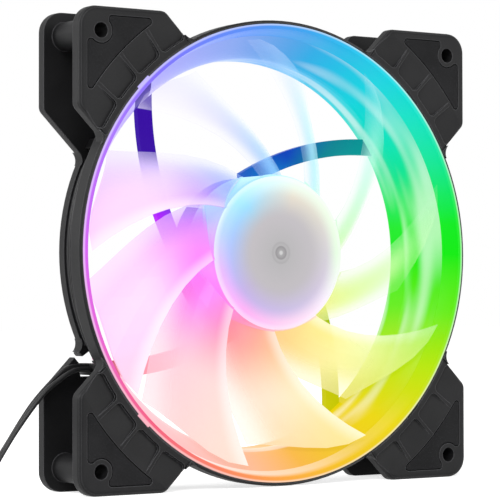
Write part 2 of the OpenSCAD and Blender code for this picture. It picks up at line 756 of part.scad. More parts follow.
module blade() {
    n = chord_steps + 1;
    m = blade_steps + 1;
    points = [for (side = [-1, 1], i = [0 : blade_steps], j = [0 : chord_steps])
        blade_point(i / blade_steps, j / chord_steps, side)];
    function at(side, i, j) = side * m * n + i * n + j;
    function quad(a, b, c, d) = [[c, b, a], [d, c, a]];
    skins = [for (i = [0 : blade_steps - 1], j = [0 : chord_steps - 1]) each concat(
        quad(at(0, i, j), at(0, i, j + 1), at(0, i + 1, j + 1), at(0, i + 1, j)),
        quad(at(1, i, j), at(1, i + 1, j), at(1, i + 1, j + 1), at(1, i, j + 1)))];
    ends = [for (j = [0 : chord_steps - 1]) each concat(
        quad(at(0, 0, j), at(1, 0, j), at(1, 0, j + 1), at(0, 0, j + 1)),
        quad(at(0, blade_steps, j), at(0, blade_steps, j + 1),
            at(1, blade_steps, j + 1), at(1, blade_steps, j)))];
    edges = [for (i = [0 : blade_steps - 1]) each concat(
        quad(at(0, i, 0), at(0, i + 1, 0), at(1, i + 1, 0), at(1, i, 0)),
        quad(at(0, i, chord_steps), at(1, i, chord_steps),
            at(1, i + 1, chord_steps), at(0, i + 1, chord_steps)))];
    polyhedron(points = points, faces = concat(skins, ends, edges));
}

module impeller() {
    dome_r = hub_r - hub_round;
    color("#e8f4ff") union() {
        difference() {
            about_shaft() polygon(concat(
                [for (i = [0 : 6]) [dome_r * i / 6, y_hub - hub_dome * (1 - pow(i / 6, 2))]],
                [for (a = [15 : 15 : 90]) [dome_r + hub_round * sin(a), y_hub + hub_round * (1 - cos(a))]],
                [[hub_r, y_hub_back], [hub_in_r, y_hub_back], [hub_in_r, y_hub_in], [shaft_boss_r, y_hub_in],
                 [shaft_boss_r, y_boss], [0, y_boss]]));
            bar(shaft_d / 2, y_shaft, y_boss + 1);
        }
        for (k = [0 : blade_count - 1]) rotate([0, 360 * k / blade_count, 0]) blade();
    }
}

yoke_set = 0.4;
magnet_set = 0.6;
magnet_over = 1;
module rotor_yoke() {
    hole_r = shaft_boss_r + 0.03;
    y_open = y_hub_back - yoke_set;
    y_disc = y_hub_in + snug;
    color("#7d8085") about_shaft() polygon([[hole_r, y_disc], [yoke_r, y_disc], [yoke_r, y_open],
        [yoke_in_r, y_open], [yoke_in_r, y_hub_in + yoke_wall], [hole_r, y_hub_in + yoke_wall]]);
}

module magnet_ring() {
    y_magnet = y_stack_front - magnet_over;
    color("#3b3b3d") about_shaft() translate([magnet_in_r, y_magnet])
        square([magnet_t, y_hub_back - magnet_set - y_magnet]);
}

clip_groove = 0.3;
module shaft() {
    color("#c8ccd0") difference() {
        bar(shaft_d / 2, y_shaft, shaft_end);
        about_shaft() translate([shaft_d / 2 - clip_groove, shaft_end - 0.35 - clip_t])
            square([clip_groove + 1, clip_t]);
    }
}

module shaft_clip() {
    color("#9aa0a5") about_shaft() translate([shaft_d / 2 - clip_groove, shaft_end - 0.35 - clip_t])
        square([sleeve_r - 0.35 - shaft_d / 2 + clip_groove, clip_t]);
}

// ---- wires and leads ----
module motor_ribbon() {
    color("#2a2a2b") union() {
        ribbon_path(ribbon_w, y_back - ribbon_t, ribbon_t);
        rotate([0, -ribbon_angle, 0]) translate([ribbon_hole_at, 0, 0]) {
            bar(ribbon_hole_r - fit, y_board - ribbon_t, y_back - eps);
            translate([-ribbon_lap, y_board - ribbon_t, -ribbon_hole_r + fit])
                cube([ribbon_lap, ribbon_t - snug, 2 * (ribbon_hole_r - fit)]);
        }
    }
}

// Moulded block beside the slot, behind the front ear, that both leads come out of
module lead_gland() {
    color("#1f1f20") difference() {
        translate([gland_x, gland_front, gland_top - gland_h])
            cube([6, y_back - ribbon_t - snug - gland_front, gland_h]);
        bar(rear_flange_r + 0.1, gland_front - 1, y_back);
    }
}

// Small block under the upper left ear where the wires of the light ring come out of the shell
outlet_angle = 150;
outlet_y = 6.2;
outlet_hole_r = 1.2;
outlet_t = 1.8;
outlet_len = 4.4;
outlet_w = 3.2;
wire_seat = 0.1;
wire_gap = 0.25;
module wire_outlet() {
    color("#1f1f20") rotate([0, -outlet_angle, 0]) union() {
        translate([shell_r + wire_seat, outlet_y - outlet_len / 2, -outlet_w / 2])
            cube([outlet_t, outlet_len, outlet_w]);
        translate([shell_r - shell_t, outlet_y, 0]) rotate([0, 90, 0])
            cylinder(r = outlet_hole_r - fit, h = shell_t + outlet_t / 2, $fn = 24);
    }
}

wires_end = 213;
module ring_wires() {
    wire_at = shell_r + wire_seat + wire_d / 2;
    start = outlet_angle + asin(outlet_w / 2 / wire_at);
    color("#202021") for (i = [-1 : 1])
        about_shaft(wires_end - start, start) translate([wire_at, outlet_y + i * (wire_d + wire_gap)])
            circle(r = wire_d / 2, $fn = 24);
}

module fan_lead() {
    color("#262627") tube(fan_route, fan_lead_d / 2, tube_sides);
}

module light_lead() {
    color("#2b2b2c") tube(light_route, light_lead_d / 2, tube_sides);
}

// Points of a coil that starts at the end of a route and runs off the same way one layer up.
// It spirals in on the lower layer, climbs in the half turn where the spiral turns back, and spirals out.
// side is 1 where it turns to the left seen from above, and -1 where it turns to the right.
function coil_pitch(d) = d + coil_gap;
function coil_out_r(d) = coil_mid * d + coil_pitch(d) * coil_turns / 4;
function coil_points(d, from, side) =
    let (half = coil_turns / 2, pitch = coil_pitch(d), r_out = coil_out_r(d),
        top = from + [-d, 0, 0], c = top - [0, side * r_out, 0])
    concat([from],
        [for (i = [0 : coil_turns * rings_per_turn]) let (turn = i / rings_per_turn,
            r = r_out - pitch * min(turn, coil_turns - turn), a = 90 + 360 * turn)
            c + [r * cos(a), side * r * sin(a), pitch * min(1, max(0, 2 * (turn - half) + 0.5))]],
        [top + [-tail_runs * d, 0, pitch]]);

// Least distance between the skins of different turns of a coil
function coil_least(p, d) =
    min([for (i = [0 : len(p) - 1], j = [i + 12 : 1 : len(p) - 1]) norm(p[i] - p[j])]) - d;

fan_coil = coil_points(fan_lead_d, fan_route[len(fan_route) - 1], fan_coil_side);
light_coil = coil_points(light_lead_d, light_route[len(light_route) - 1], light_coil_side);

module fan_lead_coil() {
    echo("least gap in the fan lead's coil, mm", coil_least(fan_coil, fan_lead_d));
    color("#262627") tube(fan_coil, fan_lead_d / 2, coil_sides);
}

module light_lead_coil() {
    echo("least gap in the light lead's coil, mm", coil_least(light_coil, light_lead_d));
    color("#2b2b2c") tube(light_coil, light_lead_d / 2, coil_sides);
}

// A flat tie round all the turns of a coil, on the side away from the plug
module coil_tie(d, from, side) {
    pitch = coil_pitch(d);
    r_out = coil_out_r(d);
    span = pitch * coil_turns / 2 + d + 2 * tie_clear;
    tall = pitch + d + 2 * tie_clear;
    c = from + [-d, -side * r_out, 0];
    corner = c + [-tie_w / 2, -side * (r_out + d / 2 + tie_clear), -d / 2 - tie_clear];
    translate(corner) mirror([0, side > 0 ? 0 : 1, 0]) difference() {
        translate([0, -tie_t, -tie_t]) cube([tie_w, span + 2 * tie_t, tall + 2 * tie_t]);
        translate([-1, 0, 0]) cube([tie_w + 2, span, tall]);
    }
}

module fan_coil_tie() {
    color("#1c1c1d") coil_tie(fan_lead_d, fan_route[len(fan_route) - 1], fan_coil_side);
}

module light_coil_tie() {
    color("#1c1c1d") coil_tie(light_lead_d, light_route[len(light_route) - 1], light_coil_side);
}

// A plug that lies on the surface beside its coil, with its sockets facing away and keys along its top
plug_pitch = 2.54;
plug_side = 0.1;
socket = 1.2;
key_w = 1.4;
key_h = 0.8;
key_start = 1.5;
key_short = 5;
function plug_wide(ways) = ways * plug_pitch + 2 * plug_side;
function way_y(i) = plug_side + (i + 0.5) * plug_pitch;
module plug(at, ways, length, tall) {
    body_h = tall - key_h;
    translate([at[0] - length, at[1] - plug_wide(ways) / 2, floor_z]) difference() {
        union() {
            cube([length, plug_wide(ways), body_h]);
            for (i = [0 : ways - 1]) translate([key_start, way_y(i) - key_w / 2, body_h - eps])
                cube([length - key_short, key_w, key_h]);
        }
        for (i = [0 : ways - 1]) translate([-1, way_y(i) - socket / 2, (body_h - socket) / 2])
            cube([length - contact_back + 1, socket, socket]);
    }
}

contact_set = 2;
contact_back = 3.5;
contact_wall = 0.2;
module plug_contacts(at, ways, length, tall) {
    inside = socket - 2 * contact_wall;
    long = length - contact_set - contact_back;
    first = [at[0] - length + contact_set, at[1] - plug_wide(ways) / 2, floor_z + (tall - key_h) / 2];
    for (i = [0 : ways - 1]) translate(first + [0, way_y(i), 0]) difference() {
        translate([0, -socket / 2, -socket / 2]) cube([long, socket, socket]);
        translate([-1, -inside / 2, -inside / 2]) cube([length, inside, inside]);
    }
}

fan_plug_at = fan_coil[len(fan_coil) - 1];
light_plug_at = light_coil[len(light_coil) - 1];
fan_ways = 4;
fan_plug_l = 12;
fan_plug_h = 6;
light_ways = 3;
light_plug_l = 10.5;
light_plug_h = 5.4;

module fan_plug() {
    color("#1b1b1c") plug(fan_plug_at, fan_ways, fan_plug_l, fan_plug_h);
}

module fan_plug_contacts() {
    color("#b9a15a") plug_contacts(fan_plug_at, fan_ways, fan_plug_l, fan_plug_h);
}

module light_plug() {
    color("#1b1b1c") plug(light_plug_at, light_ways, light_plug_l, light_plug_h);
}

module light_plug_contacts() {
    color("#b9a15a") plug_contacts(light_plug_at, light_ways, light_plug_l, light_plug_h);
}

outer_frame();
front_pads();
rear_pads();
light_ring();
led_strip();
led_chips();
inner_duct();
motor_mount();
motor_board();
board_chips();
bearing_tube();
bearing_sleeve();
oil_seal();
thrust_pad();
stator_core();
coil_bobbins();
stator_coils();
rear_label();
impeller();
rotor_yoke();
magnet_ring();
shaft();
shaft_clip();
motor_ribbon();
lead_gland();
wire_outlet();
ring_wires();
fan_lead();
light_lead();
fan_lead_coil();
light_lead_coil();
fan_coil_tie();
light_coil_tie();
fan_plug();
fan_plug_contacts();
light_plug();
light_plug_contacts();
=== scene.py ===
import math

import bpy
from mathutils import Matrix, Vector


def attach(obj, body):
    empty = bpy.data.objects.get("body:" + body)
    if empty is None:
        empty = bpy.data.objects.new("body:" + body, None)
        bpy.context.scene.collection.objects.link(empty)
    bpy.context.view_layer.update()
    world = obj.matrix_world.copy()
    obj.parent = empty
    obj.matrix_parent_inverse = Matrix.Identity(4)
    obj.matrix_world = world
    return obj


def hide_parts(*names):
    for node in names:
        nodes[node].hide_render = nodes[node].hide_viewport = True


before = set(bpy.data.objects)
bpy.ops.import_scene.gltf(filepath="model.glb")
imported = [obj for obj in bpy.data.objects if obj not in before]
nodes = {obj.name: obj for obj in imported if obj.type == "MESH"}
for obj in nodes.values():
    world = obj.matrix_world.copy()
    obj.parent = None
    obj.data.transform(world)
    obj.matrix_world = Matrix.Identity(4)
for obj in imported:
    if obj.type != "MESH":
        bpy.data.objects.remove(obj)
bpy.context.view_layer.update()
scene = bpy.context.scene
mm = 0.001


def linear(code):
    parts = [int(code[i:i + 2], 16) / 255 for i in (1, 3, 5)]
    return tuple(c / 12.92 if c <= 0.04045 else ((c + 0.055) / 1.055) ** 2.4 for c in parts) + (1.0,)


# Camera: in front of the intake side, to the left and a little below the middle; degrees and millimetres
view = {"azimuth": -33.734, "elevation": -1.261, "roll": -0.095, "distance": 678.478,
        "aim": (-3.558, 0, 1.010), "lens": 162.55, "sensor": 36, "near": 10, "far": 20000}
azimuth, elevation, roll = (math.radians(view[k]) for k in ("azimuth", "elevation", "roll"))
flatPart = math.cos(elevation)
away = Vector((math.sin(azimuth) * flatPart, -math.cos(azimuth) * flatPart, math.sin(elevation)))
level = (-away).cross(Vector((0, 0, 1))).normalized()
upright = level.cross(-away)
right = level * math.cos(roll) + upright * math.sin(roll)
above = upright * math.cos(roll) - level * math.sin(roll)
cameraData = bpy.data.cameras.new("camera")
cameraData.lens = view["lens"]
cameraData.sensor_width = view["sensor"]
cameraData.clip_start = view["near"] * mm
cameraData.clip_end = view["far"] * mm
camera = bpy.data.objects.new("camera", cameraData)
camera.matrix_world = (Matrix.Translation((Vector(view["aim"]) + away * view["distance"]) * mm)
                       @ Matrix((right, above, away)).transposed().to_4x4())
scene.collection.objects.link(camera)
scene.camera = camera
scene.view_settings.view_transform = "Standard"
print("stage: camera")


# Leads: each runs down to the floor, along it and into its coil; side is the side of it that the coil lies on
floorZ = -69.25
sheath = {"roundness": 3, "smoothness": 3}    # steps per quarter round, and per point of the route
coil = {"gap": 0.55, "middle": 5.1, "turns": 6, "steps": 24, "tail": 8}    # middle and tail in lead diameters
leads = {
    "fan": {
        "diameter": 1.5, "side": -1, "onIt": ["lead_gland"],
        "route": [
            (-55.6, 5, -34), (-59.6, 5, -34), (-63, 4.9, -35), (-66.6, 4.8, -37.2), (-70.2, 4.6, -39.6),
            (-73, 4.5, -42.3), (-75.8, 4.4, -45.4), (-78.6, 4.3, -48.8), (-81.4, 4, -52.2),
            (-84, 3.6, -55.6), (-86.6, 3, -59), (-88.9, 1.7, -62.1), (-90.7, -0.7, -64.8),
            (-91.9, -3.9, -66.7), (-93.6, -7.3, -67.7), (-96.2, -10.3, -67.95), (-99.6, -12.3, -67.95),
            (-103.6, -13.4, -67.95), (-107.8, -14.4, -67.95), (-112, -15.4, -67.95),
            (-116.2, -16.4, -67.95), (-120.4, -17.4, -67.95), (-124.5, -18.1, -67.95)],
    },
    "light": {
        "diameter": 1.3, "side": 1, "onIt": [],
        "route": [
            (-55.6, 7, -33), (-59.4, 7, -33), (-62.4, 7, -33.6), (-65.2, 6.9, -35.4), (-69, 6.7, -38.6),
            (-71.6, 6.5, -41), (-74, 6.4, -43.5), (-76.6, 6.4, -46.8), (-79, 6.5, -50.2),
            (-81.4, 6.7, -53.8), (-83.8, 7, -57.4), (-86.4, 7.4, -60.8), (-89.2, 7.9, -64),
            (-92.2, 8.3, -66.5), (-95, 8.5, -67.8), (-98.4, 8.5, -68.05), (-101.7, 8.5, -68.05)],
    },
}


def coilPoints(lead):
    d, side, turns = lead["diameter"], lead["side"], coil["turns"]
    pitch = d + coil["gap"]
    outer = coil["middle"] * d + pitch * turns / 4
    top = Vector(lead["route"][-1]) + Vector((-d, 0, 0))
    middle = top - Vector((0, side * outer, 0))
    points = []
    for i in range(turns * coil["steps"] + 1):
        turn = i / coil["steps"]
        radius = outer - pitch * min(turn, turns - turn)    # in for half the turns, then out again above them
        angle = math.radians(90 + 360 * turn)
        lift = pitch * min(1, max(0, 2 * (turn - turns / 2) + 0.5))    # up to that layer over half a turn
        points.append(middle + Vector((radius * math.cos(angle), side * radius * math.sin(angle), lift)))
    return points + [top + Vector((-coil["tail"] * d, 0, pitch))]


for name, lead in leads.items():
    points = [Vector(p) for p in lead["route"]] + coilPoints(lead)
    curve = bpy.data.curves.new(name + "_cable", "CURVE")
    curve.dimensions = "3D"
    curve.bevel_depth = lead["diameter"] * mm / 2
    curve.bevel_resolution = sheath["roundness"]
    curve.use_fill_caps = True
    curve.resolution_u = sheath["smoothness"]
    spline = curve.splines.new("BEZIER")
    spline.bezier_points.add(len(points) - 1)
    for bezier, point in zip(spline.bezier_points, points):
        bezier.co = point * mm
        bezier.handle_left_type = bezier.handle_right_type = "AUTO"
    cable = bpy.data.objects.new(name + "_cable", curve)
    scene.collection.objects.link(cable)
    bpy.ops.object.select_all(action="DESELECT")
    cable.select_set(True)
    bpy.context.view_layer.objects.active = cable
    bpy.ops.object.convert(target="MESH")
    bpy.ops.object.shade_smooth()
    cable = bpy.context.object
    lead["cable"] = cable
    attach(cable, "frame")
    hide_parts(name + "_lead", name + "_lead_coil")


# A node with its inputs and its own settings; stops fill a colour ramp whose far end stands for span
def add(tree, kind, inputs=(), stops=(), span=360, **settings):
    node = tree.nodes.new("ShaderNode" + kind)
    for key, value in settings.items():
        setattr(node, key, value)
    for key, value in (inputs.items() if isinstance(inputs, dict) else enumerate(inputs)):
        if isinstance(value, bpy.types.NodeSocket):
            tree.links.new(value, node.inputs[key])
        else:
            node.inputs[key].default_value = value
    for i, (place, code) in enumerate(stops):
        ramp = node.color_ramp.elements
        element = ramp[i] if i < 2 else ramp.new(place / span)    # a new ramp has two stops already
        element.position = place / span
        element.color = linear(code)
    return next((output for output in node.outputs if output.enabled), None)


def startMaterial(name):
    material = bpy.data.materials.new(name)
    material.use_nodes = True
    material.node_tree.nodes.clear()
    return material, material.node_tree


def measure(tree):
    # A point's place in millimetres, and its radius, degrees and share of a turn about the shaft
    place = add(tree, "TexCoord").node.outputs["Object"]
    point = add(tree, "VectorMath", [place, (1 / mm, 1 / mm, 1 / mm)], operation="MULTIPLY")
    axes = add(tree, "SeparateXYZ", [point]).node.outputs
    flat = add(tree, "VectorMath", [point, (1, 0, 1)], operation="MULTIPLY")
    radius = add(tree, "VectorMath", [flat], operation="LENGTH").node.outputs["Value"]
    radians = add(tree, "Math", [axes["Z"], axes["X"]], operation="ARCTAN2")
    angle = add(tree, "Math", [radians, math.degrees(1)], operation="MULTIPLY")
    turns = add(tree, "Math", [angle, 1 / 360, 1.0], operation="MULTIPLY_ADD")
    turn = add(tree, "Math", [turns], operation="FRACT")
    return {"point": point, "radius": radius, "angle": angle, "turn": turn}


# Plain mouldings, films and coatings: tone and paler drift over them in clouds, speck is the colour of their
# grain, edgeHighlight that of a painted highlight along their edges; grain and depth are in mm
mouldings = {
    # Black glass-filled polyester from a spark-eroded tool: a dull black, its grain just catching the light
    "spark_textured_black_polyester": {
        "tone": "#121213", "paler": "#19191a", "speck": "#2e2e2f", "edgeHighlight": "#77777a",
        "grain": 0.25, "depth": 0.02, "rough": 0.5, "gloss": 0.14, "edge": 0.42},
    # Soft thermoplastic rubber with a coarse moulded grain: sandy and dull, paler where the grain stands up
    "sandy_damping_rubber": {
        "tone": "#101011", "paler": "#1a1a1b", "speck": "#47474a", "edgeHighlight": "#4a4a4c",
        "grain": 0.32, "depth": 0.05, "rough": 0.75, "gloss": 0.12, "edge": 0.25},
    # Black ABS, smooth from the tool: an even black with a soft shine
    "smooth_black_abs": {
        "tone": "#121213", "paler": "#1a1a1b", "speck": "#242425", "edgeHighlight": "#3c3c3e",
        "grain": 0.4, "depth": 0.005, "rough": 0.38, "gloss": 0.35, "edge": 0.3},
    # Flexible PVC drawn over copper strands: black with a waxy shine that wavers along the lead
    "waxy_black_pvc": {
        "tone": "#131314", "paler": "#1d1d1e", "speck": "#2c2c2d", "edgeHighlight": "#2c2c2d",
        "grain": 1.2, "depth": 0.03, "rough": 0.4, "gloss": 0.35, "edge": 0.0},
    # Natural nylon: warm cream, slightly cloudy
    "natural_nylon": {
        "tone": "#d8d3c2", "paler": "#e6e2d4", "speck": "#c6c0ac", "edgeHighlight": "#efebdf",
        "grain": 0.5, "depth": 0.008, "rough": 0.45, "gloss": 0.5, "edge": 0.2},
    # White polyimide film with its adhesive: matt white
    "white_polyimide_film": {
        "tone": "#dcdcd6", "paler": "#ebebe6", "speck": "#c9c9c2", "edgeHighlight": "#f2f2ee",
        "grain": 0.35, "depth": 0.004, "rough": 0.5, "gloss": 0.4, "edge": 0.0},
    # Silicone-filled diode housings: yellowish white
    "silicone_filled_housing": {
        "tone": "#e6dca2", "paler": "#f0ead0", "speck": "#d8c670", "edgeHighlight": "#f4efda",
        "grain": 0.6, "depth": 0.004, "rough": 0.3, "gloss": 0.5, "edge": 0.0},
    # Glass-epoxy board under green solder mask: deep green, faintly mottled by the cloth under it
    "green_masked_glass_epoxy": {
        "tone": "#1c5230", "paler": "#27633a", "speck": "#164427", "edgeHighlight": "#2f7044",
        "grain": 0.5, "depth": 0.006, "rough": 0.3, "gloss": 0.5, "edge": 0.0},
    # Blank satin polyester film: silver grey, nearly even
    "blank_satin_film": {
        "tone": "#aeb1b4", "paler": "#bfc2c5", "speck": "#a2a5a8", "edgeHighlight": "#c8cbce",
        "grain": 0.25, "depth": 0.003, "rough": 0.4, "gloss": 0.5, "edge": 0.0},
    # Plastic-bonded ferrite: charcoal, slightly powdery
    "bonded_ferrite": {
        "tone": "#28282b", "paler": "#353538", "speck": "#4a4a4d", "edgeHighlight": "#4a4a4d",
        "grain": 0.2, "depth": 0.01, "rough": 0.6, "gloss": 0.4, "edge": 0.0},
}
# What all of them share; a cloud scale of 0.07 makes clouds about 14 mm wide
skin = {
    "grainDetail": 3.0, "grainRough": 0.6, "cloudScale": 0.07, "cloudDetail": 2.0, "clouds": (0.35, 0.65),
    "specks": (0.55, 0.75), "speckShare": 0.6, "bump": 0.6, "roughs": (0.3, 0.7), "roughSway": 0.06,
    "edgeRadius": 0.45, "edgeSamples": 4, "edges": (0.99, 0.85),
}


def moulding(name):
    look = mouldings[name]
    material, tree = startMaterial(name)
    point = measure(tree)["point"]
    grain = add(tree, "TexNoise", {"Vector": point, "Scale": 1 / look["grain"], "Detail": skin["grainDetail"],
                                   "Roughness": skin["grainRough"]})
    drift = add(tree, "TexNoise", {"Vector": point, "Scale": skin["cloudScale"],
                                   "Detail": skin["cloudDetail"]})
    clouds = add(tree, "MapRange", [drift, *skin["clouds"], 0.0, 1.0])
    base = add(tree, "MixRGB", [clouds, linear(look["tone"]), linear(look["paler"])])
    specks = add(tree, "MapRange", [grain, *skin["specks"], 0.0, skin["speckShare"]])
    grained = add(tree, "MixRGB", [specks, base, linear(look["speck"])])
    # Edges painted a little paler as a highlight: there a rounded normal leaves the face's own
    rounded = add(tree, "Bevel", {"Radius": skin["edgeRadius"] * mm}, samples=skin["edgeSamples"])
    normal = add(tree, "NewGeometry").node.outputs["Normal"]
    facing = add(tree, "VectorMath", [rounded, normal], operation="DOT_PRODUCT").node.outputs["Value"]
    edgeHighlightShare = add(tree, "MapRange", [facing, *skin["edges"], 0.0, look["edge"]])
    color = add(tree, "MixRGB", [edgeHighlightShare, grained, linear(look["edgeHighlight"])])
    bump = add(tree, "Bump", {"Height": grain, "Normal": rounded, "Strength": skin["bump"],
                              "Distance": look["depth"] * mm})
    rough = add(tree, "MapRange", [grain, *skin["roughs"], look["rough"] - skin["roughSway"],
                                   look["rough"] + skin["roughSway"]])
    shader = add(tree, "BsdfPrincipled", {"Base Color": color, "Roughness": rough, "Normal": bump,
                                          "Specular IOR Level": look["gloss"]})
    add(tree, "OutputMaterial", [shader])
    return material


# Metals: brush is the width of a tool mark in mm
metals = {
    # Enamelled copper wire: orange brown with a varnished shine
    "enamelled_copper": {"tone": "#b4622a", "paler": "#cf8148", "rough": 0.3, "brush": 0.35},
    # Turned brass: yellow with fine rings from the tool
    "turned_brass": {"tone": "#c79a55", "paler": "#dcb678", "rough": 0.28, "brush": 0.25},
    # Pressed and zinc-plated steel: cool grey, slightly streaked
    "zinc_plated_steel": {"tone": "#9da0a4", "paler": "#babdc0", "rough": 0.36, "brush": 0.4},
}
brushing = {"squeeze": (1, 12, 1), "detail": 4.0, "marks": (0.3, 0.7), "smoother": 0.06, "rougher": 0.08}


def metal(name):
    look = metals[name]
    material, tree = startMaterial(name)
    # Squeezed along the shaft's axis, the marks run round it
    squeezed = add(tree, "VectorMath", [measure(tree)["point"], brushing["squeeze"]], operation="MULTIPLY")
    marks = add(tree, "TexNoise", {"Vector": squeezed, "Scale": 1 / look["brush"],
                                   "Detail": brushing["detail"]})
    share = add(tree, "MapRange", [marks, *brushing["marks"], 0.0, 1.0])
    color = add(tree, "MixRGB", [share, linear(look["tone"]), linear(look["paler"])])
    rough = add(tree, "MapRange", [marks, *brushing["marks"], look["rough"] - brushing["smoother"],
                                   look["rough"] + brushing["rougher"]])
    shader = add(tree, "BsdfPrincipled", {"Base Color": color, "Roughness": rough, "Metallic": 1.0})
    add(tree, "OutputMaterial", [shader])
    return material


# Lit plastics: colours go round the shaft by degrees from the right-hand side, and these are the diodes' own
diodes = [(0, "#00e000"), (9, "#00e01c"), (17, "#00de5c"), (27, "#00dc94"), (40, "#00dabe"),
          (54, "#00ceda"), (68, "#12b6e2"), (82, "#2c9ae2"), (96, "#468ae6"), (112, "#5e7cec"),
          (130, "#7a6af0"), (150, "#a070f0"), (166, "#b862ea"), (180, "#cc5ee8"), (200, "#dc5ccc"),
          (215, "#e65c9a"), (228, "#ea5c7a"), (250, "#ee7c5e"), (270, "#f0a040"), (288, "#e8b818"),
          (308, "#e0cc00"), (328, "#b0dc00"), (344, "#60e000"), (360, "#00e000")]
white = linear("#ffffff")
frameShade = linear("#1c1c1d")    # a lit piece where the black frame keeps the light off it
soft = {"interpolation_type": "SMOOTHSTEP"}


def litPlastic(material, tree, color, look, **more):
    # It glows over a nearly black base, so that the lamps don't wash its colour out; on the duct, mount and
    # impeller this glow is painted light
    base = add(tree, "MixRGB", [look["dark"], color, linear(look["base"])])
    shader = add(tree, "BsdfPrincipled", {
        "Base Color": base, "Roughness": look["rough"], "Specular IOR Level": look["gloss"],
        "Emission Color": color, "Emission Strength": look["strength"], **more})
    add(tree, "OutputMaterial", [shader])
    return material


# Opal polycarbonate, moulded and lit from its rim: glows in the diodes' colour, with a painted highlight
# along the outer edge and a painted white highlight on the inner edge on the left; the tabs on the right are
# painted in the frame's shade
litRing = {
    "strength": 0.92, "dark": 0.85, "base": "#101010", "rough": 0.25, "gloss": 0.06,
    "innerEdge": (65.8, 66.4, 1.0, 0.0), "outerEdge": (67.3, 67.7, 0.0, 0.35), "tab": 68.0,
    "tabShade": [(0, "#ffffff"), (90, "#ffffff"), (110, "#000000"), (240, "#000000"), (270, "#ffffff"),
                 (360, "#ffffff")],
    "innerHighlight": [(0, "#000000"), (60, "#101010"), (100, "#404040"), (140, "#a0a0a0"), (180, "#e8e8e8"),
                   (240, "#d0d0d0"), (275, "#a0a0a0"), (300, "#404040"), (320, "#000000"), (360, "#000000")],
}


def opalRing():
    material, tree = startMaterial("opal_lit_polycarbonate")
    at = measure(tree)
    glow = add(tree, "ValToRGB", [at["turn"]], stops=diodes)
    # Painted highlights: a white line on the inner edge, strongest on the left, and a pale line along the
    # outer edge
    inner = add(tree, "MapRange", [at["radius"], *litRing["innerEdge"]])
    leftSide = add(tree, "ValToRGB", [at["turn"]], stops=litRing["innerHighlight"])
    innerHighlight = add(tree, "Math", [leftSide, inner], operation="MULTIPLY")
    outerHighlight = add(tree, "MapRange", [at["radius"], *litRing["outerEdge"]])
    pale = add(tree, "Math", [innerHighlight, outerHighlight], operation="MAXIMUM")
    lit = add(tree, "MixRGB", [pale, glow, white])
    # Painted shade: the tabs on the right take the black frame's shade
    isTab = add(tree, "Math", [at["radius"], litRing["tab"]], operation="GREATER_THAN")
    rightSide = add(tree, "ValToRGB", [at["turn"]], stops=litRing["tabShade"])
    inShade = add(tree, "Math", [isTab, rightSide], operation="MULTIPLY")
    color = add(tree, "MixRGB", [inShade, lit, frameShade])
    return litPlastic(material, tree, color, litRing)


# The motor mount, in polycarbonate: its glow is painted light, each strut in a deep colour of the ring's
# light by its angle, lighter at the hub
litMount = {
    "strength": 0.95, "dark": 0.85, "base": "#101010", "rough": 0.3, "gloss": 0.02,
    "hubGlow": (24.0, 36.0, 0.35, 0.0), "ductRadius": 59.9,
    "strutGlowTones": [(0, "#30a000"), (30, "#009a90"), (45, "#007c8a"), (60, "#0040b0"), (85, "#0018a0"),
              (105, "#2a0098"), (125, "#34009c"), (140, "#34009a"), (150, "#4a00b4"), (156, "#9000ec"),
              (162, "#bc00fc"), (200, "#c020d0"), (208, "#98002a"), (214, "#a80030"), (219, "#f4a0b4"),
              (240, "#f89098"), (265, "#e0a850"), (290, "#d0c000"), (320, "#b0c000"), (360, "#30a000")],
}


def paintedGlowMount():
    material, tree = startMaterial("mount_polycarbonate_painted_glow")
    at = measure(tree)
    # Painted light: the ring's colours, deep on each strut by its angle, and the diodes' own near the hub
    tone = add(tree, "ValToRGB", [at["turn"]], stops=litMount["strutGlowTones"])
    glow = add(tree, "ValToRGB", [at["turn"]], stops=diodes)
    nearHub = add(tree, "MapRange", [at["radius"], *litMount["hubGlow"]], **soft)
    lit = add(tree, "MixRGB", [nearHub, tone, glow])
    # Painted shade: beyond the duct's radius the mount is painted in the black frame's shade
    shadedBehindDuct = add(tree, "Math", [at["radius"], litMount["ductRadius"]], operation="GREATER_THAN")
    color = add(tree, "MixRGB", [shadedBehindDuct, lit, frameShade])
    return litPlastic(material, tree, color, litMount)


# Clear polycarbonate frosted inside, lit from the ring: a painted glow, deep colour on the right and a
# painted pale highlight on the left, with soft bright streaks of painted reflection that follow the wall, and
# painted dark in the struts' tones where the feet of two struts stand on it
litDuct = {
    "strength": 0.9, "dark": 0.85, "base": "#101010", "rough": 0.3, "gloss": 0.06,
    "reflectionStreakSize": (0.02, 0.17, 0.02), "reflectionStreaks": (0.48, 0.72, 0.0, 0.42),
    "feet": (133.6, 212.5), "footHalf": 3.4,
    "pale": [(0, "#000000"), (50, "#000000"), (75, "#202020"), (100, "#787878"), (130, "#949494"),
             (175, "#b0b0b0"), (230, "#b8b8b8"), (260, "#909090"), (280, "#303030"), (300, "#000000"),
             (360, "#000000")],
}


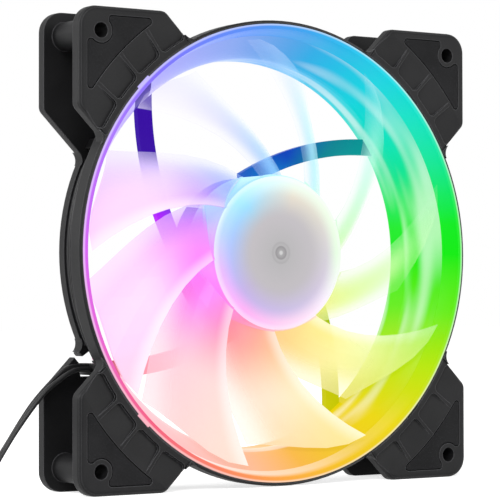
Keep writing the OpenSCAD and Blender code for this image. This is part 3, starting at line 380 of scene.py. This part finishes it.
def frostedDuct():
    material, tree = startMaterial("frosted_lit_polycarbonate")
    at = measure(tree)
    glow = add(tree, "ValToRGB", [at["turn"]], stops=diodes)
    # Painted reflections: soft bright streaks along the wall, and a painted pale highlight on the left side
    stretched = add(tree, "VectorMath", [at["point"], litDuct["reflectionStreakSize"]], operation="MULTIPLY")
    noise = add(tree, "TexNoise", {"Vector": stretched, "Scale": 1.0, "Detail": 1.0})
    reflectionStreak = add(tree, "MapRange", [noise, *litDuct["reflectionStreaks"]], **soft)
    leftSide = add(tree, "ValToRGB", [at["turn"]], stops=litDuct["pale"])
    lit = add(tree, "MixRGB", [add(tree, "Math", [leftSide, reflectionStreak], operation="MAXIMUM"), glow, white])
    half = litDuct["footHalf"] / 360
    upper, lower = (add(tree, "Math", [at["turn"], foot / 360, half], operation="COMPARE")
                    for foot in litDuct["feet"])
    besideFoot = add(tree, "Math", [upper, lower], operation="MAXIMUM")
    normal = add(tree, "NewGeometry").node.outputs["Normal"]
    outward = add(tree, "VectorMath", [at["point"], normal], operation="DOT_PRODUCT").node.outputs["Value"]
    inside = add(tree, "Math", [outward, 0.0], operation="LESS_THAN")    # not on the wall's outer side
    tone = add(tree, "ValToRGB", [at["turn"]], stops=litMount["strutGlowTones"])
    color = add(tree, "MixRGB", [add(tree, "Math", [besideFoot, inside], operation="MULTIPLY"), lit, tone])
    return litPlastic(material, tree, color, litDuct)


# The impeller, in clear polycarbonate frosted by the tool: the ring's light is painted on it as pastel tints,
# and its blades are nearly solid on the left and below, and thin as mist on the right and above
litImpeller = {
    "strength": 0.92, "dark": 0.8, "base": "#181818", "rough": 0.35, "gloss": 0.2,
    # A blade's front edge stands at this angle 40 mm out, sweeps on over the next 20 mm, and curls back
    "blades": 9, "edgeAt": (40.0, 60.0), "edgeStart": 121.9, "edgeSweep": 17.65, "edgeCurl": -2.02,
    # How far a blade runs along the arc, in mm, at its root and at its tip
    "rootAndTip": (22.4, 59.0), "rootRun": 19.5, "tipRun": 28.0, "widening": 3,
    # From here on four numbers are a stretch and what it turns into: mm out, or a share of a blade's run
    "rootGlow": (26.0, 46.0, 1.0, 0.0), "tipGlow": (38.0, 60.0, 0.0, 1.0),
    "frontSheen": (0.0, 0.2, 0.36, 0.0), "backSheen": (0.7, 1.0, 0.0, 0.15),
    "solid": (0.45, 1.0, 0.95, 0.38), "mistRise": (0.0, 0.45, 0.12, 1.0), "mistFall": (0.5, 1.0, 0.5, 0.1),
    "mistTip": (40.0, 58.0, 1.0, 0.3),
    "hubRadius": 23.5, "wallRadius": 22.9, "markRadius": 10.0, "lipHighlightTone": "#f4f4f6",
    "faceRing": (10.0, 19.0, 0.0, 1.0), "rimRing": (16.5, 22.0, 0.0, 1.0), "lip": (21.0, 22.8, 0.0, 0.35),
    "mark": [(0, "#c2c2c2"), (0.5, "#b8b8b8"), (0.8, "#969496"), (1.9, "#848284"), (2.2, "#a4a2a4"),
             (3.1, "#9c9a9c"), (3.5, "#a6a4a6"), (10, "#aeaaae")],
    "bladeLightTints": [
        (0, "#ccf2b0"), (25, "#bcf0d0"), (50, "#b8eeee"), (80, "#c0dcfa"), (110, "#ccd0fb"),
        (140, "#dcccfb"), (165, "#eecafa"), (190, "#f6c6f6"), (210, "#fac6e4"), (230, "#fbc6cc"),
        (250, "#fad3c8"), (270, "#f8dec6"), (290, "#f5e6b0"), (310, "#efeea0"), (335, "#dcf29c"),
        (360, "#ccf2b0")],
    "rootLightTints": [
        (0, "#b8ee88"), (30, "#b0ecc0"), (60, "#98dcf4"), (90, "#88c0f4"), (130, "#9aa0f4"),
        (160, "#d48cf6"), (185, "#ee7cf6"), (212, "#f67ce0"), (232, "#fc84a8"), (255, "#f8a090"),
        (280, "#f6cc88"), (310, "#f0e488"), (335, "#d8ec80"), (360, "#b8ee88")],
    "fullness": [
        (0, "#404040"), (20, "#202020"), (60, "#202020"), (110, "#303030"), (136, "#404040"),
        (148, "#e0e0e0"), (165, "#ffffff"), (300, "#ffffff"), (320, "#c8c8c8"), (342, "#606060"),
        (360, "#404040")],
    "tipShare": [
        (0, "#404040"), (150, "#000000"), (200, "#181818"), (262, "#303030"), (285, "#909090"),
        (330, "#a0a0a0"), (360, "#404040")],
    "wallLightTints": [
        (0, "#d4ecc8"), (60, "#c4ecdc"), (100, "#a8e0f4"), (130, "#98d0fa"), (155, "#b0b8fa"),
        (180, "#e08cf6"), (210, "#f67ce8"), (240, "#fa88b4"), (270, "#f4b4b8"), (300, "#eecfbc"),
        (330, "#e0e4b8"), (360, "#d4ecc8")],
    "rimLightTints": [
        (0, "#d4ecd0"), (40, "#dcead6"), (75, "#dcece0"), (105, "#c8eaf0"), (135, "#9cdcf6"),
        (165, "#aec6f8"), (195, "#d8aaf4"), (235, "#f0a2e2"), (275, "#f0c4e2"), (320, "#e6dcea"),
        (360, "#d4ecd0")],
    "faceLightTints": [
        (0, "#c4c0c6"), (40, "#ccc8bc"), (75, "#d4ccbc"), (105, "#b2ccd4"), (130, "#88ccec"),
        (165, "#96b6ea"), (220, "#b4a0da"), (290, "#bcb0d4"), (330, "#c2b8cc"), (360, "#c4c0c6")],
}


def frostedImpeller():
    look = litImpeller
    material, tree = startMaterial("frosted_impeller_polycarbonate")
    at = measure(tree)
    glow = add(tree, "ValToRGB", [at["turn"]], stops=diodes)
    tables = ("bladeLightTints", "rootLightTints", "fullness", "tipShare", "wallLightTints", "rimLightTints", "faceLightTints")
    pastel, root, share, ringColourShare, wall, rim, face = (
        add(tree, "ValToRGB", [at["turn"]], stops=look[table]) for table in tables)
    # How far a point lies behind its blade's front edge, from 0 there to 1 at the back edge
    out = add(tree, "MapRange", [at["radius"], *look["edgeAt"], 0.0, 1.0], clamp=False)
    bend = add(tree, "Math", [out, look["edgeCurl"], look["edgeSweep"]], operation="MULTIPLY_ADD")
    twoTurnsOn = look["edgeStart"] + 2 * 360    # so that no angle behind it is below 0
    front = add(tree, "Math", [out, bend, twoTurnsOn], operation="MULTIPLY_ADD")
    behind = add(tree, "Math", [front, at["angle"]], operation="SUBTRACT")
    pitches = add(tree, "Math", [behind, look["blades"] / 360], operation="MULTIPLY")
    partOfPitch = add(tree, "Math", [pitches], operation="FRACT")
    degrees = add(tree, "Math", [partOfPitch, 360 / look["blades"]], operation="MULTIPLY")
    arc = add(tree, "Math", [degrees, at["radius"]], operation="MULTIPLY")
    along = add(tree, "MapRange", [at["radius"], *look["rootAndTip"], 0.0, 1.0])
    wider = add(tree, "Math", [along, look["widening"]], operation="POWER")
    runs = [math.degrees(look[end]) for end in ("rootRun", "tipRun")]
    run = add(tree, "MapRange", [wider, 0.0, 1.0, *runs])
    chord = add(tree, "Math", [arc, run], operation="DIVIDE")
    # Blades: painted light, stronger colour at the root, the ring's own near the tip, and a painted white
    # sheen along both edges
    nearHub = add(tree, "MapRange", [at["radius"], *look["rootGlow"]], **soft)
    nearTip = add(tree, "MapRange", [at["radius"], *look["tipGlow"]], **soft)
    ringColourNearTip = add(tree, "Math", [ringColourShare, nearTip], operation="MULTIPLY")
    bladeLight = add(tree, "MixRGB", [nearHub, add(tree, "MixRGB", [ringColourNearTip, pastel, glow]), root])
    frontSheen = add(tree, "MapRange", [chord, *look["frontSheen"]], **soft)
    backSheen = add(tree, "MapRange", [chord, *look["backSheen"]], **soft)
    sheen = add(tree, "Math", [frontSheen, backSheen], operation="MAXIMUM")
    blade = add(tree, "MixRGB", [sheen, bladeLight, white])
    # Hub: grey face with a gate mark, rings round it painted in the ring's light, a thin painted highlight on
    # the lip, and the side wall painted in the ring's light
    markPlace = add(tree, "Math", [at["radius"], look["markRadius"]], operation="DIVIDE")
    mark = add(tree, "ValToRGB", [markPlace], stops=look["mark"], span=look["markRadius"])
    faceRing = add(tree, "MapRange", [at["radius"], *look["faceRing"]], **soft)
    rimRing = add(tree, "MapRange", [at["radius"], *look["rimRing"]], **soft)
    lip = add(tree, "MapRange", [at["radius"], *look["lip"]], **soft)
    rings = add(tree, "MixRGB", [rimRing, add(tree, "MixRGB", [faceRing, mark, face]), rim])
    cap = add(tree, "MixRGB", [lip, rings, linear(look["lipHighlightTone"])])
    isWall = add(tree, "Math", [at["radius"], look["wallRadius"]], operation="GREATER_THAN")
    hub = add(tree, "MixRGB", [isWall, cap, wall])
    isHub = add(tree, "Math", [at["radius"], look["hubRadius"]], operation="LESS_THAN")
    # The hub hides what is behind it, and a blade hides part of it, less towards its back edge
    solid = add(tree, "MapRange", [chord, *look["solid"]], **soft)
    rise = add(tree, "MapRange", [chord, *look["mistRise"]], **soft)
    fall = add(tree, "MapRange", [chord, *look["mistFall"]], **soft)
    mistTip = add(tree, "MapRange", [at["radius"], *look["mistTip"]], **soft)
    across = add(tree, "Math", [rise, fall], operation="MULTIPLY")
    mist = add(tree, "Math", [across, mistTip], operation="MULTIPLY")
    bladeCover = add(tree, "MapRange", [share, 0.0, 1.0, mist, solid])
    cover = add(tree, "Math", [isHub, bladeCover], operation="MAXIMUM")
    color = add(tree, "MixRGB", [isHub, blade, hub])
    return litPlastic(material, tree, color, look, Alpha=cover)


# Which finish each piece wears
wears = {
    "spark_textured_black_polyester": ["outer_frame"],
    "sandy_damping_rubber": ["front_pads", "rear_pads", "oil_seal"],
    "smooth_black_abs": ["board_chips", "lead_gland", "wire_outlet", "fan_coil_tie", "light_coil_tie",
                         "fan_plug", "light_plug"],
    "waxy_black_pvc": ["motor_ribbon", "ring_wires"],
    "natural_nylon": ["thrust_pad", "coil_bobbins"],
    "white_polyimide_film": ["led_strip"],
    "silicone_filled_housing": ["led_chips"],
    "green_masked_glass_epoxy": ["motor_board"],
    "blank_satin_film": ["rear_label"],
    "bonded_ferrite": ["magnet_ring"],
    "enamelled_copper": ["stator_coils"],
    "turned_brass": ["bearing_tube", "bearing_sleeve", "fan_plug_contacts", "light_plug_contacts"],
    "zinc_plated_steel": ["stator_core", "rotor_yoke", "shaft", "shaft_clip"],
}
finishes = {name: moulding(name) for name in mouldings}
finishes.update({name: metal(name) for name in metals})
dressed = {node: finishes[name] for name, wearers in wears.items() for node in wearers}
dressed.update({"light_ring": opalRing(), "inner_duct": frostedDuct(), "motor_mount": paintedGlowMount(),
                "impeller": frostedImpeller()})
for node, finish in dressed.items():
    nodes[node].data.materials.clear()
    nodes[node].data.materials.append(finish)
for lead in leads.values():
    lead["cable"].data.materials.append(finishes["waxy_black_pvc"])
print("stage: materials")


# Studio: a pale floor that fades into a white backdrop, and soft lamps; sizes are in metres, power in watts
studio = {
    "floorSize": 6.0, "floorTone": "#e4e4e4", "floorRough": 0.9, "floorGlow": 0.7, "light": "#adadad",
    "lamps": {
        "key": {"spot": (-0.75, -0.8, 0.75), "size": 0.7, "power": 14},
        "fill": {"spot": (0.7, -1.0, 0.15), "size": 0.8, "power": 6},
        "rim": {"spot": (-0.9, 0.5, 0.35), "size": 0.5, "power": 6},
    },
}
bpy.ops.object.select_all(action="DESELECT")
bpy.ops.mesh.primitive_plane_add(size=studio["floorSize"], location=(0, 0, floorZ * mm))
bpy.ops.object.transform_apply(location=True, rotation=False, scale=False)
floor = bpy.context.object
floor.name = "floor"


def seenWhite(tree):
    # 1 for what the camera sees, straight on, mirrored or through clear plastic; 0 for light on the object
    rays = add(tree, "LightPath").node.outputs
    mirrored = add(tree, "Math", [rays["Is Glossy Ray"], rays["Is Transmission Ray"]], operation="MAXIMUM")
    return add(tree, "Math", [rays["Is Camera Ray"], mirrored], operation="MAXIMUM")


# Seamless white vinyl: even and matt
vinyl, tree = startMaterial("white_backdrop_vinyl")
glow = add(tree, "Math", [seenWhite(tree), studio["floorGlow"]], operation="MULTIPLY")
add(tree, "OutputMaterial", [add(tree, "BsdfPrincipled", {
    "Base Color": linear(studio["floorTone"]), "Roughness": studio["floorRough"], "Specular IOR Level": 0.0,
    "Emission Color": white, "Emission Strength": glow})])
floor.data.materials.append(vinyl)
world = bpy.data.worlds.new("studio")
scene.world = world
world.use_nodes = True
world.node_tree.nodes.clear()
backdrop = add(world.node_tree, "MixRGB", [seenWhite(world.node_tree), linear(studio["light"]), white])
add(world.node_tree, "OutputWorld", [add(world.node_tree, "Background", [backdrop, 1.0])])
for name, lamp in studio["lamps"].items():
    facing = Vector(lamp["spot"]).to_track_quat("Z", "Y").to_euler()    # towards the fan
    bpy.ops.object.light_add(type="AREA", location=lamp["spot"], rotation=facing)
    light = bpy.context.object
    light.name = name
    light.data.size = lamp["size"]
    light.data.energy = lamp["power"]
print("stage: studio")
